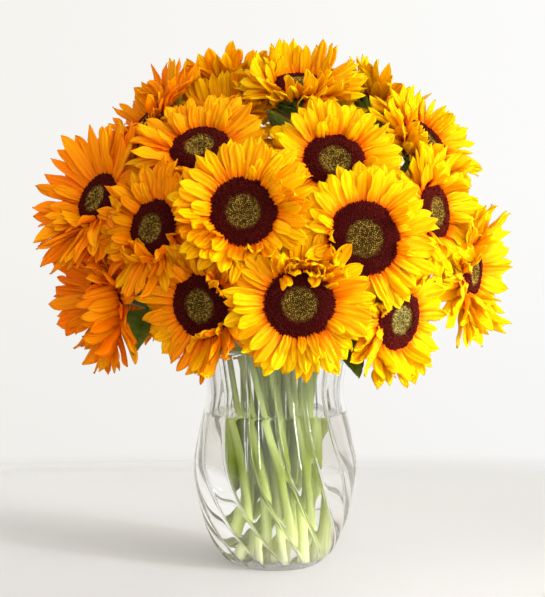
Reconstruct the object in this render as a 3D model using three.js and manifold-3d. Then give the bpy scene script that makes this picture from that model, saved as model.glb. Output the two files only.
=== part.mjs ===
// A bouquet of twenty-seven sunflowers in a clear glass vase with sixteen swirled flutes.
// Millimetres, +Z up. The origin is the centre of the vase's flat underside; -Y is the bouquet's front.
import * as THREE from "three";
import { mergeVertices } from "three/addons/utils/BufferGeometryUtils.js";
import Module from "manifold-3d";

const wasm = await Module();
wasm.setup();

// ---- driving dimensions ----
const GAP = 0.35; // clearance between neighbouring pieces
const MERGE = 1e-3; // vertices closer than this are one vertex
const UP = new THREE.Vector3(0, 0, 1);
const radians = THREE.MathUtils.degToRad;

const VASE = {
  // the outer wall from the foot to the rim, as [radius, height]
  wall: [[39, 0], [46, 5], [55, 16], [66.6, 45], [73.8, 87], [69.6, 118], [62.6, 155], [64.6, 178], [69, 200]],
  rows: 10, // rows of facets up the wall
  glass: 3.6, // wall thickness
  floor: 8, // height of the inside floor
  flutes: 16,
  fluteDepth: 1.5,
  sidesPerFlute: 3,
  swirl: radians(60), // how far a flute turns between the rim and the foot
  swirlBend: 3, // above 1, most of that turn is low on the wall
};

const WATER = { level: 140, sides: 24 };

const STEM = {
  radius: 3.6,
  sides: 6,
  steps: 9, // the first step is the straight run inside the vase
  neck: 188, // height where the bundle passes the vase's neck
  bundle: 45, // radius of the bundle there
  spacing: 15, // least distance between two stems there
  turn: radians(62), // the bundle's spiral from the neck down to the floor
  footSpread: 0.8, // radius of the bundle on the floor, as a share of the one at the neck
};

const BOUQUET = {
  centre: new THREE.Vector3(0, 0, 250), // the heads stand on a dome around this point
  lowest: radians(125), // angle from straight up of the outermost stems' heads
  passes: 250, // passes of the spreading that keeps the stems apart
  easing: 0.12, // how strongly each pass straightens a stem
  between: 10.2, // least distance between two stems' middles above the neck
  coreShare: 0.9, // the part of a head that stems keep out of, as a share of its disc
  rimRoom: 7.5, // distance from the middle of the rim to a stem's middle
};

const HEAD = {
  petals: 12,
  dome: 4, // how far the florets stand proud of the petals
  slab: 5, // how far the disc reaches back
  petalThickness: 1.6,
  parting: 0.55, // where two petals part, as a share of their length
  calyxDepth: 15,
  bracts: 7,
  bractThickness: 1.3,
  bractReach: 1.32, // radius to the bract tips, as a share of the disc's
  bractParting: 1.02,
};

// The heads, the front ones first: the centre of the disc, the way it faces as [degrees from the front
// towards +X, degrees above level], the radii of the disc and of the petal tips, and the petals' lean
// forward of the disc's plane, in degrees.
const HEADS = [
  { at: [-26, -148, 327], faces: [-6, 6], disc: 29, tip: 60, lean: 12 },
  { at: [20, -150, 251], faces: [2, -2], disc: 30, tip: 61, lean: 12 },
  { at: [73, -138, 304], faces: [14, 6], disc: 32, tip: 62, lean: 12 },
  { at: [-61, -124, 247], faces: [-34, -4], disc: 29, tip: 61, lean: 14 },
  { at: [104, -100, 233], faces: [47, -6], disc: 27, tip: 58, lean: 14 },
  { at: [-103, -98, 309], faces: [-40, 14], disc: 26, tip: 58, lean: 18 },
  { at: [50, -100, 366], faces: [6, 32], disc: 27, tip: 58, lean: 14 },
  { at: [-64, -82, 377], faces: [-14, 48], disc: 26, tip: 60, lean: 14 },
  { at: [-154, -44, 331], faces: [-50, 24], disc: 25, tip: 63, lean: 28 },
  { at: [-148, -34, 244], faces: [-58, -8], disc: 25, tip: 63, lean: 30 },
  { at: [137, -56, 322], faces: [58, 8], disc: 26, tip: 60, lean: 20 },
  { at: [174, -12, 266], faces: [66, -2], disc: 25, tip: 62, lean: 30 },
  { at: [132, -10, 379], faces: [50, 38], disc: 26, tip: 60, lean: 18 },
  { at: [22, -16, 430], faces: [4, 68], disc: 26, tip: 60, lean: 28 },
  { at: [98, 62, 406], faces: [116, 42], disc: 24, tip: 56, lean: 22 },
  { at: [-44, 62, 424], faces: [-170, 58], disc: 24, tip: 56, lean: 22 },
  { at: [-112, 16, 400], faces: [-80, 44], disc: 25, tip: 61, lean: 26 },
  { at: [-50, -10, 406], faces: [-30, 66], disc: 24, tip: 54, lean: 24 },
  { at: [26, 54, 416], faces: [160, 74], disc: 24, tip: 54, lean: 20 },
  { at: [-124, 76, 342], faces: [-124, 24], disc: 26, tip: 60, lean: 18 },
  { at: [40, 116, 366], faces: [166, 30], disc: 27, tip: 60, lean: 14 },
  { at: [-46, 134, 318], faces: [-164, 12], disc: 28, tip: 61, lean: 14 },
  { at: [140, 66, 308], faces: [116, 10], disc: 27, tip: 60, lean: 16 },
  { at: [46, 134, 268], faces: [164, -2], disc: 28, tip: 61, lean: 14 },
  { at: [-122, 72, 256], faces: [-118, -6], disc: 26, tip: 60, lean: 18 },
  { at: [-34, 116, 232], faces: [-164, -12], disc: 26, tip: 58, lean: 14 },
  { at: [-160, 22, 288], faces: [-92, 8], disc: 25, tip: 60, lean: 16 },
];

// Leaves left on the stems: the flower, how far up its stem the leaf grows, and the way it points.
const LEAVES = [
  { flower: 5, share: 0.5, points: [0.3, -0.85, -0.35] },
  { flower: 10, share: 0.8, points: [-0.17, -0.86, -0.49] },
  { flower: 14, share: 0.8, points: [-0.37, -0.5, 0.78] },
  { flower: 13, share: 0.86, points: [-0.75, -0.2, 0.5] },
];
const LEAF = { length: 62, width: 30, thickness: 1.4, stalk: 6, stalkWidth: 5 };

const MATERIALS = {
  vase: { color: 0xe6ecea, roughness: 0.05, transparent: true, opacity: 0.35 },
  water: { color: 0xdfe8d2, roughness: 0.02, transparent: true, opacity: 0.3 },
  stem: { color: 0x8fae4e, roughness: 0.55 },
  bloom: { color: 0xf6a800, roughness: 0.55 },
  leaf: { color: 0x3f6b2a, roughness: 0.6 },
};

// ---- solids ----
// A closed geometry as a solid, its shared vertices merged and the triangles that shut at a pole left out.
function solidFrom(geometry) {
  const bare = geometry.clone();
  bare.deleteAttribute("normal");
  bare.deleteAttribute("uv");
  const merged = mergeVertices(bare, MERGE);
  const corners = merged.index.array;
  const kept = [];
  for (let i = 0; i < corners.length; i += 3) {
    const [a, b, c] = [corners[i], corners[i + 1], corners[i + 2]];
    if (a !== b && b !== c && a !== c) kept.push(a, b, c);
  }
  return new wasm.Manifold(new wasm.Mesh({
    numProp: 3,
    vertProperties: merged.attributes.position.array,
    triVerts: new Uint32Array(kept),
  }));
}

function geometryFrom(solid) {
  const { numProp, vertProperties, triVerts } = solid.getMesh();
  const geometry = new THREE.BufferGeometry();
  geometry.setAttribute("position", new THREE.BufferAttribute(vertProperties, numProp));
  geometry.setIndex(new THREE.BufferAttribute(triVerts, 1));
  geometry.computeVertexNormals();
  return geometry;
}

function boxOf(solid) {
  const { min, max } = solid.boundingBox();
  return new THREE.Box3(new THREE.Vector3(...min), new THREE.Vector3(...max));
}

// What stays of a solid where the given cutters reach it: its largest piece.
function cutBy(solid, cutters) {
  const reach = boxOf(solid);
  const near = cutters.filter((cutter) => reach.intersectsBox(boxOf(cutter)));
  const left = near.reduce((body, cutter) => body.subtract(cutter), solid);
  return left.decompose().sort((a, b) => b.volume() - a.volume())[0];
}

// A profile of [radius, height] turned about +Z, its vertices then moved by shape(point, side, row).
function turned(profile, sides, shape) {
  const outline = profile.map(([radius, height]) => new THREE.Vector2(radius, height));
  const geometry = new THREE.LatheGeometry(outline, sides).rotateX(Math.PI / 2);
  const places = geometry.attributes.position;
  const point = new THREE.Vector3();
  for (let i = 0; shape && i < places.count; i++) {
    point.fromBufferAttribute(places, i);
    shape(point, Math.floor(i / profile.length) % sides, i % profile.length);
    places.setXYZ(i, point.x, point.y, point.z);
  }
  return geometry;
}

// ---- vase and water ----
const wallLine = new THREE.SplineCurve(VASE.wall.map(([radius, height]) => new THREE.Vector2(radius, height)));
const rimHeight = VASE.wall.at(-1)[1];

function wallRadius(height) {
  const points = wallLine.getPoints(VASE.rows * 20);
  const above = Math.max(1, points.findIndex((point) => point.y >= height));
  const [low, high] = [points[above - 1], points[above]];
  return THREE.MathUtils.mapLinear(height, low.y, high.y, low.x, high.x);
}

function swirlAt(height) {
  return VASE.swirl * Math.pow(1 - Math.min(1, Math.max(0, height / rimHeight)), VASE.swirlBend);
}

// The inside of the wall from the floor to the rim, as [radius, height].
function insideProfile() {
  const corner = VASE.floor + VASE.glass;
  const wall = wallLine.getPoints(VASE.rows)
    .filter(({ y }) => y > corner + VASE.glass)
    .map(({ x, y }) => [x - VASE.fluteDepth - VASE.glass, y]);
  const low = wallRadius(corner);
  return [[low - VASE.glass * 3, VASE.floor], [low - VASE.glass * 2, corner], ...wall];
}

function makeVase() {
  const outside = wallLine.getPoints(VASE.rows).map((point) => [point.x, point.y]);
  const profile = [[0, 0], ...outside, ...insideProfile().reverse(), [0, VASE.floor]];
  return turned(profile, VASE.flutes * VASE.sidesPerFlute, (point, side, row) => {
    if (row < 1 || row > outside.length) return;
    const crease = side % VASE.sidesPerFlute ? 0 : VASE.fluteDepth * Math.min(1, point.z / VASE.floor);
    const share = 1 - crease / Math.hypot(point.x, point.y);
    point.set(point.x * share, point.y * share, point.z).applyAxisAngle(UP, swirlAt(point.z));
  });
}

function makeWater(stems) {
  const wet = insideProfile().map(([radius, height]) => [radius - GAP, height + GAP]);
  const above = wet.findIndex(([, height]) => height > WATER.level);
  const [low, high] = [wet[above - 1], wet[above]];
  const edge = THREE.MathUtils.mapLinear(WATER.level, low[1], high[1], low[0], high[0]);
  const profile = [[0, wet[0][1]], ...wet.slice(0, above), [edge, WATER.level], [0, WATER.level]];
  return stems.reduce((left, stem) => left.subtract(stem), solidFrom(turned(profile, WATER.sides)));
}

// ---- where the stems run ----
function facing(head) {
  const [around, above] = head.faces.map(radians);
  const level = Math.cos(above);
  return new THREE.Vector3(Math.sin(around) * level, -Math.cos(around) * level, Math.sin(above));
}

function behind(head, distance) {
  return new THREE.Vector3(...head.at).addScaledVector(facing(head), -distance);
}

// Moves a point out of the ball around a centre, by the given share of what it lacks.
function pushOut(point, centre, distance, share) {
  const away = point.clone().sub(centre);
  const lack = distance - away.length();
  if (lack > 0) point.addScaledVector(away.normalize(), lack * share);
}

// A place in the neck for each stem: on its head's side of the bundle, and further out the lower the head.
function neckPlaces() {
  const places = HEADS.map((head) => {
    const out = new THREE.Vector3(...head.at).sub(BOUQUET.centre);
    const share = Math.min(1, out.angleTo(UP) / BOUQUET.lowest);
    return out.setZ(0).setLength(STEM.bundle * share).setZ(STEM.neck);
  });
  const middle = new THREE.Vector3(0, 0, STEM.neck);
  for (let pass = 0; pass < BOUQUET.passes; pass++) {
    for (const place of places) {
      for (const other of places) {
        if (other !== place) pushOut(place, other, STEM.spacing, 0.5);
      }
      const radius = place.distanceTo(middle);
      if (radius > STEM.bundle) place.sub(middle).multiplyScalar(STEM.bundle / radius).add(middle);
    }
  }
  return places;
}

function footPlace(neck) {
  const foot = neck.clone().setZ(0).applyAxisAngle(UP, STEM.turn).multiplyScalar(STEM.footSpread);
  const slope = Math.hypot(foot.x - neck.x, foot.y - neck.y) / STEM.neck;
  return foot.setZ(VASE.floor + GAP + STEM.radius * slope);
}

// The free run of each stem from the neck to its head, spread until it is clear of the other stems,
// the other heads and the rim.
function freeRuns(necks, feet) {
  const points = STEM.steps - 1;
  const runs = HEADS.map((head, i) => {
    const end = behind(head, HEAD.slab + HEAD.calyxDepth * 0.6);
    const reach = necks[i].distanceTo(end) * 0.42;
    const rise = necks[i].clone().sub(feet[i]).normalize();
    const curve = new THREE.CubicBezierCurve3(
      necks[i], necks[i].clone().addScaledVector(rise, reach),
      end.clone().addScaledVector(facing(head), -reach), end,
    );
    return curve.getPoints(points);
  });
  const rimRadius = wallRadius(rimHeight - 1) - VASE.glass / 2;
  const nearest = new THREE.Vector3();
  for (let pass = 0; pass < BOUQUET.passes; pass++) {
    runs.forEach((run, i) => {
      for (let k = 1; k < points; k++) {
        const straighter = run[k - 1].clone().add(run[k + 1]).multiplyScalar(0.5);
        if (k > 1) run[k].lerp(straighter, BOUQUET.easing);
        runs.forEach((other, j) => {
          if (j === i) return;
          for (let n = 0; n < points; n++) {
            new THREE.Line3(other[n], other[n + 1]).closestPointToPoint(run[k], true, nearest);
            pushOut(run[k], nearest, BOUQUET.between, 0.5);
          }
          const core = behind(HEADS[j], HEAD.slab);
          pushOut(run[k], core, HEADS[j].disc * BOUQUET.coreShare + STEM.radius, 0.5);
        });
        const rim = run[k].clone().setZ(0).setLength(rimRadius).setZ(rimHeight);
        pushOut(run[k], rim, BOUQUET.rimRoom, 1);
      }
    });
  }
  return runs;
}

// A stem's middle line: one straight step inside the vase, then its free run. Steps follow the
// parameter and not the length, so that they fall on the run's own points.
class StemLine extends THREE.Curve {
  constructor(foot, run) {
    super();
    this.foot = foot;
    this.free = new THREE.CatmullRomCurve3(run);
  }
  getPoint(t) {
    const step = t * STEM.steps;
    if (step < 1) return this.foot.clone().lerp(this.free.points[0], step);
    return this.free.getPoint((step - 1) / (STEM.steps - 1));
  }
  getUtoTmapping(u) {
    return u;
  }
}

// ---- flowers ----
function makeStem(line, extra) {
  const section = new THREE.Shape();
  const radius = STEM.radius + extra;
  for (let side = 0; side < STEM.sides; side++) {
    const angle = (side / STEM.sides) * Math.PI * 2;
    section[side ? "lineTo" : "moveTo"](radius * Math.cos(angle), radius * Math.sin(angle));
  }
  return new THREE.ExtrudeGeometry(section, { steps: STEM.steps, extrudePath: line });
}

// Turns a shape made around +Z to face the way its head does.
function onHead(geometry, head) {
  geometry.applyQuaternion(new THREE.Quaternion().setFromUnitVectors(UP, facing(head)));
  return geometry.translate(...head.at);
}

// A star: every second side of the rim row is drawn in to the radius where two petals part.
function starred(profile, points, rimRows, parting) {
  return turned(profile, points * 2, (point, side, row) => {
    if (side % 2 === 0 || !rimRows.includes(row)) return;
    const rim = profile[row][0];
    const next = profile[rimRows[0] - 1];
    const share = (parting - next[0]) / (rim - next[0]);
    point.x *= parting / rim;
    point.y *= parting / rim;
    point.z = THREE.MathUtils.lerp(point.z, next[1] + (point.z - profile[rimRows[0]][1]), 1 - share);
  });
}

// The disc of florets with its ring of petals; extra grows it all round, to cut room for it.
function makeBloom(head, extra) {
  const lean = Math.tan(radians(head.lean));
  const tip = head.tip + extra * 2;
  const disc = head.disc + extra;
  const front = (tip - disc) * lean + extra;
  const profile = [
    [0, -HEAD.slab - extra],
    [disc * 0.86, -HEAD.slab - extra],
    [disc, -HEAD.petalThickness - extra],
    [tip, front - HEAD.petalThickness - extra * 2],
    [tip, front],
    [disc, extra],
    [0, HEAD.dome + extra],
  ];
  const parting = THREE.MathUtils.lerp(head.disc, head.tip, HEAD.parting) + extra * 2;
  return onHead(starred(profile, HEAD.petals, [3, 4], parting), head);
}

// The green cup behind a head, with its ring of bracts behind the petals.
function makeCalyx(head, extra) {
  const lean = Math.tan(radians(head.lean));
  const seat = -HEAD.slab - GAP;
  const rim = head.disc * HEAD.bractReach + extra * 2;
  const rimFront = -HEAD.petalThickness - GAP * 2 + (rim - head.disc) * lean * 0.5;
  const profile = [
    [0, -HEAD.slab - HEAD.calyxDepth - extra],
    [head.disc * 0.82 + extra, seat - HEAD.bractThickness * 2 - extra],
    [rim, rimFront - HEAD.bractThickness - extra * 2],
    [rim, rimFront + extra],
    [head.disc * 0.9, seat + extra],
    [0, seat + extra],
  ];
  return onHead(starred(profile, HEAD.bracts, [2, 3], head.disc * HEAD.bractParting + extra * 2), head);
}

// A pointed leaf on a short stalk that starts at the skin of its stem.
function makeLeaf(leaf, line) {
  const root = line.getPoint(leaf.share);
  const along = new THREE.Vector3(...leaf.points).normalize();
  const level = new THREE.Vector3().crossVectors(UP, along).normalize();
  const upward = new THREE.Vector3().crossVectors(along, level);
  const half = LEAF.width / 2;
  const outline = new THREE.Shape();
  outline.moveTo(0, -LEAF.stalkWidth / 2);
  outline.lineTo(LEAF.stalk, -LEAF.stalkWidth / 2);
  for (const side of [-1, 1]) {
    const reach = [0.3, 0.6].map((share) => LEAF.length * share);
    const spread = [half, half * 0.75];
    if (side > 0) [reach, spread].forEach((list) => list.reverse());
    if (side > 0) outline.lineTo(LEAF.length, 0);
    reach.forEach((distance, k) => outline.lineTo(distance, spread[k] * side));
  }
  outline.lineTo(LEAF.stalk, LEAF.stalkWidth / 2);
  outline.lineTo(0, LEAF.stalkWidth / 2);
  const blade = new THREE.ExtrudeGeometry(outline, { depth: LEAF.thickness, bevelEnabled: false });
  blade.applyMatrix4(new THREE.Matrix4().makeBasis(along, level, upward));
  return blade.translate(root.x, root.y, root.z);
}

// ---- the bouquet ----
function meshOf(name, geometry, material) {
  const mesh = new THREE.Mesh(geometry, new THREE.MeshStandardMaterial({ metalness: 0, ...material }));
  mesh.name = name;
  return mesh;
}

const numbered = (name, index) => `${name}_${String(index + 1).padStart(2, "0")}`;

const necks = neckPlaces();
const feet = necks.map(footPlace);
const lines = freeRuns(necks, feet).map((run, i) => new StemLine(feet[i], run));
const stemRooms = lines.map((line) => solidFrom(makeStem(line, GAP)));

const stems = [];
const calyxRooms = [];
HEADS.forEach((head, i) => {
  const otherStems = stemRooms.filter((room) => room !== stemRooms[i]);
  const calyx = cutBy(solidFrom(makeCalyx(head, 0)), [...otherStems, ...calyxRooms]);
  stems.push(solidFrom(makeStem(lines[i], 0)).add(calyx));
  calyxRooms.push(solidFrom(makeCalyx(head, GAP)));
});

const vaseRoom = solidFrom(turned(
  [[0, 0], ...wallLine.getPoints(VASE.rows).map(({ x, y }) => [x + GAP, y + GAP * 2]), [0, rimHeight]],
  WATER.sides,
));
const blooms = [];
const bloomRooms = [];
HEADS.forEach((head, i) => {
  const inTheWay = [vaseRoom, ...bloomRooms];
  HEADS.forEach((other, j) => {
    if (j !== i) inTheWay.push(stemRooms[j], calyxRooms[j]);
  });
  blooms.push(cutBy(solidFrom(makeBloom(head, 0)), inTheWay));
  bloomRooms.push(solidFrom(makeBloom(head, GAP)));
});

const bouquet = new THREE.Group();
bouquet.add(meshOf("vase", makeVase(), MATERIALS.vase));
bouquet.add(meshOf("water", geometryFrom(makeWater(stemRooms)), MATERIALS.water));
HEADS.forEach((head, i) => {
  const flower = new THREE.Group();
  flower.add(meshOf(numbered("stem", i), geometryFrom(stems[i]), MATERIALS.stem));
  flower.add(meshOf(numbered("bloom", i), geometryFrom(blooms[i]), MATERIALS.bloom));
  bouquet.add(flower);
});
LEAVES.forEach((leaf, i) => {
  const blade = solidFrom(makeLeaf(leaf, lines[leaf.flower - 1]));
  const rooms = [vaseRoom, ...stemRooms, ...calyxRooms, ...bloomRooms];
  bouquet.add(meshOf(numbered("leaf", i), geometryFrom(cutBy(blade, rooms)), MATERIALS.leaf));
});

export default bouquet;
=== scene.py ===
# Sunflowers in a swirled glass vase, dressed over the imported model. Metres, +Z up, the front is -Y.
import random
from collections import Counter
from functools import partialmethod
from math import atan2, cos, degrees, dist, exp, hypot, pi, radians, sin, sqrt, tau
from types import SimpleNamespace

import bpy
import numpy as np
from mathutils import Matrix, Vector, noise
from mathutils.bvhtree import BVHTree


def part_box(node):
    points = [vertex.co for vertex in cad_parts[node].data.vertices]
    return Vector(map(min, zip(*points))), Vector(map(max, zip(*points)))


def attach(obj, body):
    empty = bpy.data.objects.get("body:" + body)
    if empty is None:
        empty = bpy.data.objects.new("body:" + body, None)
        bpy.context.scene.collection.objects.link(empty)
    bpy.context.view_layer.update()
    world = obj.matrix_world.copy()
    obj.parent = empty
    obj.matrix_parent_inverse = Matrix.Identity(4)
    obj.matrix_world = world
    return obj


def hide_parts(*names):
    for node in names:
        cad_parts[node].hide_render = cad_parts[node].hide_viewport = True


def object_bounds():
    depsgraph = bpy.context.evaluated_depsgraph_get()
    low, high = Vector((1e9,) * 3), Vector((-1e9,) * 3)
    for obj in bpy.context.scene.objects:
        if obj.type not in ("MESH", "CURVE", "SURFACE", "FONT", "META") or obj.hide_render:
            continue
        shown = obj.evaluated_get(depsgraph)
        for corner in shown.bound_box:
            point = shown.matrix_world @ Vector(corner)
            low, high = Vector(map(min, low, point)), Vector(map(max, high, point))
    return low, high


scene = bpy.context.scene
noise.seed_set(5)  # so that the petals crumple the same way every time
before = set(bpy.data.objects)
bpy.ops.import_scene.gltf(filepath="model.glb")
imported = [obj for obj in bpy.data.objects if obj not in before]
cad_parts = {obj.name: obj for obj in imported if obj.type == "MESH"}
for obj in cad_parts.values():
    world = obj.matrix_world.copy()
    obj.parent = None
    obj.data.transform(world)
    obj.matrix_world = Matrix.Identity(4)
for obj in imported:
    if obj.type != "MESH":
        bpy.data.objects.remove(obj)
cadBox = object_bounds()
print("frame loaded,", len(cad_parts), "nodes")


def lerp(a, b, t):
    return a + (b - a) * t


def smoothStep(low, high, x):
    t = min(1.0, max(0.0, (x - low) / (high - low)))
    return t * t * (3 - 2 * t)


def addObject(name, data, hidden=False):
    made = bpy.data.objects.new(name, data)
    scene.collection.objects.link(made)
    made.hide_render = made.hide_viewport = hidden
    return made


def meshFrom(name, places, faces, smooth=True):
    mesh = bpy.data.meshes.new(name)
    mesh.from_pydata([tuple(p) for p in places], [], faces)
    if smooth:
        mesh.shade_smooth()
    return mesh


def addPiece(mesh, slot, *replaced):
    # one finished piece of the bouquet, riding on the only body, in the material named after its slot
    made = addObject(mesh.name, mesh)
    if not mesh.materials:
        mesh.materials.append(materials[slot])
    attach(made, "root")
    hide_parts(*replaced)
    return made


def thicken(made, thickness, offset=0):
    solid = made.modifiers.new("thickness", "SOLIDIFY")
    solid.thickness, solid.offset = thickness, offset


def setPoints(mesh, name, values):
    mesh.attributes.new(name, "FLOAT", "POINT").data.foreach_set("value", values)


def setUvs(mesh, name, uvs):
    mesh.uv_layers.new(name=name).data.foreach_set("uv", [c for uv in uvs for c in uv])


def sheetFaces(rows, columns, first=0):
    # the quads of a sheet whose corners are numbered row by row
    wide = columns + 1
    corners = (first + r * wide + c for r in range(rows) for c in range(columns))
    return [[a, a + 1, a + wide + 1, a + wide] for a in corners]


def turnedMesh(profile, sides):
    # a closed solid of revolution about +Z from (radius, height) points that start and end on the axis
    places, faces, rings = [], [], []
    for radius, height in profile:
        first, wide = len(places), sides if radius > 0 else 1
        angles = [tau * side / sides for side in range(wide)]
        places += [(radius * cos(angle), radius * sin(angle), height) for angle in angles]
        rings.append([first + side % wide for side in range(sides)])
    for low, high in zip(rings, rings[1:]):
        for side in range(sides):
            after = (side + 1) % sides
            faces.append(list(dict.fromkeys([low[side], low[after], high[after], high[side]])))
    return places, faces


def weldedNode(name):
    # a CAD node's places and triangles, with the corners that coincide made one
    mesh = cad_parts[name].data
    keys = [tuple(round(c, 6) for c in vertex.co) for vertex in mesh.vertices]
    faces = [[keys[corner] for corner in polygon.vertices] for polygon in mesh.polygons]
    index = {key: i for i, key in enumerate(dict.fromkeys(key for face in faces for key in face))}
    return [Vector(key) for key in index], [[index[key] for key in face] for face in faces]


def neighboursOf(faces):
    near = {}
    for face in faces:
        for corner in face:
            near.setdefault(corner, set()).update(face)
    return near


def readStem(name):
    # the middle of each ring of a stem's tube, from its foot to where it grows into the calyx
    places, faces = weldedNode(name)
    near = neighboursOf(faces)
    sides = 6
    ring = foot = sorted(range(len(places)), key=lambda i: places[i].z)[:sides]
    seen, path = set(ring), []
    while len(ring) == sides:
        path.append(sum((places[i] for i in ring), Vector()) / sides)
        ring = list(set().union(*(near[i] for i in ring)) - seen)
        seen.update(ring)
    return path, max((places[i] - path[0]).length for i in foot)


def readHead(name, stemEnd):
    # a bloom's axis runs through the two corners where the most triangles meet
    places, faces = weldedNode(name)
    meeting = Counter(corner for face in faces for corner in face)
    back, front = sorted((i for i, _ in meeting.most_common(2)), key=lambda i: (places[i] - stemEnd).length)
    axis = places[front] - places[back]
    normal = axis.normalized()
    centre = places[back] + normal * axis.length * 5 / 9

    def offAxis(place):
        out = place - centre
        return (out - normal * out.dot(normal)).length

    tip = max(places, key=offAxis)
    side = normal.cross(Vector((0, 0, 1))).normalized()
    head = SimpleNamespace(centre=centre, normal=normal, across=side, upward=side.cross(normal).normalized())
    head.disc = max(offAxis(places[i]) for i in neighboursOf(faces)[front] - {front})
    head.tip = offAxis(tip)
    head.free = atan2((tip - centre).dot(normal), head.tip - head.disc)  # how far forward it opens
    return head


heads = []
for number in range(1, 1 + sum(name.startswith("bloom_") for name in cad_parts)):
    mark = f"{number:02d}"
    path, stemRadius = readStem("stem_" + mark)
    head = readHead("bloom_" + mark, path[-1])
    head.number, head.mark, head.path, head.stemRadius = number, mark, path, stemRadius
    heads.append(head)
print("read", len(heads), "heads and stems")


class Wire:
    # a node's output; sums written with it add Math nodes, and [name] is another output of its node
    def __init__(self, socket):
        self.socket = socket

    def __getitem__(self, name):
        return Wire(self.socket.node.outputs[name])

    def math(self, operation, *others):
        return addNode(self.socket.id_data, "Math", self, *others, operation=operation)

    def __rsub__(self, other):
        return addNode(self.socket.id_data, "Math", other, self, operation="SUBTRACT")

    __add__ = partialmethod(math, "ADD")
    __sub__ = partialmethod(math, "SUBTRACT")
    __mul__ = partialmethod(math, "MULTIPLY")
    __truediv__ = partialmethod(math, "DIVIDE")
    __pow__ = partialmethod(math, "POWER")


def addNode(tree, kind, *values, **named):
    # small names are settings of the node; the rest and the bare values go to its inputs
    node = tree.nodes.new(kind if "Node" in kind else "ShaderNode" + kind)
    for key, value in named.items():
        if key.islower():
            setattr(node, key, value)
    inputs = [(key.replace("_", " "), value) for key, value in named.items() if not key.islower()]
    for key, value in [*enumerate(values), *inputs]:
        if value is None:
            continue
        socket = node.inputs[key]
        if isinstance(value, Wire):
            tree.links.new(value.socket, socket)
        else:
            socket.default_value = (*value, 1) if socket.type == "RGBA" else value
    return Wire(node.outputs[0]) if node.outputs else None


def addRamp(tree, factor, *stops):
    # each stop is a place with its colour or its grey
    ramp = addNode(tree, "ValToRGB", factor)
    elements = ramp.socket.node.color_ramp.elements
    while len(elements) < len(stops):
        elements.new(1.0)
    for element, (place, colour) in zip(elements, stops):
        element.position = place
        element.color = (*(colour if isinstance(colour, tuple) else [colour] * 3), 1)
    return ramp


def mixColours(tree, share, a, b):
    return addNode(tree, "Mix", share, *[None] * 5, a, b, data_type="RGBA")[2]


def smoothRange(tree, value, start, end, low=0.0, high=1.0):
    return addNode(tree, "MapRange", value, start, end, low, high, interpolation_type="SMOOTHSTEP")


def readPoints(tree, name):
    return addNode(tree, "Attribute", attribute_name=name)["Fac"]


def addNoise(tree, where, scale, detail, roughness=0.5):
    return addNode(tree, "TexNoise", Vector=where, Scale=scale, Detail=detail, Roughness=roughness)


def addStreaks(tree, uv, stretch, detail, roughness=0.5):
    return addNoise(tree, addNode(tree, "Mapping", uv, Scale=stretch), 1.0, detail, roughness)


def addBump(tree, height, strength, distance):
    return addNode(tree, "Bump", Height=height, Strength=strength, Distance=distance)


def tinted(tree, colour, factor):
    return addNode(tree, "VectorMath", colour, operation="SCALE", Scale=factor)


materials = {}


def newMaterial(name):
    material = materials[name] = bpy.data.materials.new(name)
    material.use_nodes = True
    material.node_tree.nodes.clear()
    return material.node_tree


def finishSkin(tree, colour, bump, roughness, specular, through=0, throughBump=None):
    # a matt skin that lets a share of the light through
    skin = addNode(
        tree, "BsdfPrincipled", Base_Color=colour, Normal=bump, Roughness=roughness,
        Specular_IOR_Level=specular,
    )
    if through:
        behind = addNode(tree, "BsdfTranslucent", colour, throughBump)
        skin = addNode(tree, "MixShader", through, skin, behind)
    addNode(tree, "OutputMaterial", skin)


def newGroup(name, kind, outputs, **inputs):
    # an input comes with its default value or with the name of its type
    tree = bpy.data.node_groups.new(name, kind)
    for label, value in inputs.items():
        socketType = value if isinstance(value, str) else {int: "Int", float: "Float"}[type(value)]
        label = label.replace("_", " ")
        socket = tree.interface.new_socket(label, in_out="INPUT", socket_type="NodeSocket" + socketType)
        if socketType is not value:
            socket.default_value = value
    for label, value in outputs.items():
        tree.interface.new_socket(label, in_out="OUTPUT", socket_type="NodeSocket" + value)
    return tree, addNode(tree, "NodeGroupInput")


def makeFineGrain():
    # shared group: soft mottling over a base colour, with a matching height for a bump
    outputs = {"Colour": "Color", "Height": "Float"}
    tree, given = newGroup("fineGrain", "ShaderNodeTree", outputs, Vector="Vector", Colour="Color", Scale=1.0)
    mottle = addNoise(tree, given["Vector"], given["Scale"], 4.0, 0.6)
    colour = tinted(tree, given["Colour"], (mottle - 0.5) * 0.5 + 1.0)
    addNode(tree, "NodeGroupOutput", colour, mottle)
    return tree


fineGrain = makeFineGrain()


def addGrain(tree, where, colour, scale):
    return addNode(tree, "Group", node_tree=fineGrain, Vector=where, Colour=colour, Scale=scale)


petalLook = {
    "root": (0.6, 0.05, 0.0),
    "low": (1.0, 0.22, 0.0),
    "middle": (0.97, 0.53, 0.0),
    "tip": (0.98, 0.7, 0.0),
    "deep": (1.0, 0.28, 0.0),  # the colour that a warm petal leans to, by chance and as painted shade on the side away from the light
    "glowShare": 0.4,  # share of the light that comes through
    "veins": (22, 1.5, 1.0),  # fine lines across a petal's width, and along it
    "streaks": (7.0, 1.2, 1.0),
    "ridges": 3,
    "roughness": 0.46,
}


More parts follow.
